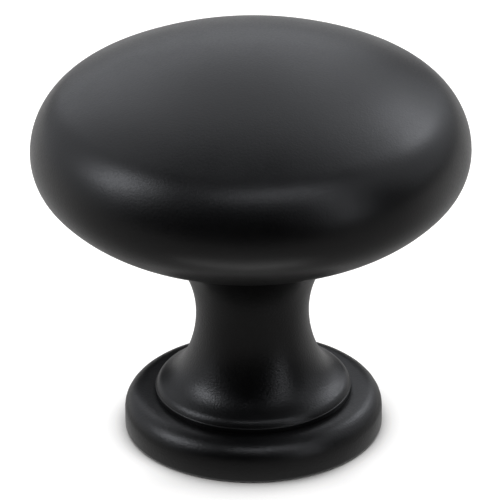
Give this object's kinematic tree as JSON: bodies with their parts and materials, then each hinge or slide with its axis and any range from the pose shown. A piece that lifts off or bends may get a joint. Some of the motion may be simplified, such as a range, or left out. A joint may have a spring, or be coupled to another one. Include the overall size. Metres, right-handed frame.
{
  "type": "cabinet knob",
  "caption": "Matt black mushroom cabinet knob with a domed head, slim waisted neck, flared collar and round foot, fixed by a screw from behind.",
  "frame": {"origin": "centre of the foot's flat back, on the axis of the screw hole", "axes": "+Z along the knob's axis, away from the cabinet front, towards the dome of the head"},
  "size_m": [0.032, 0.032, 0.0303],
  "materials": {
    "black_coat": "matte"
  },
  "bodies": {
    "root": {"knob": "black_coat"}
  },
  "joints": []
}
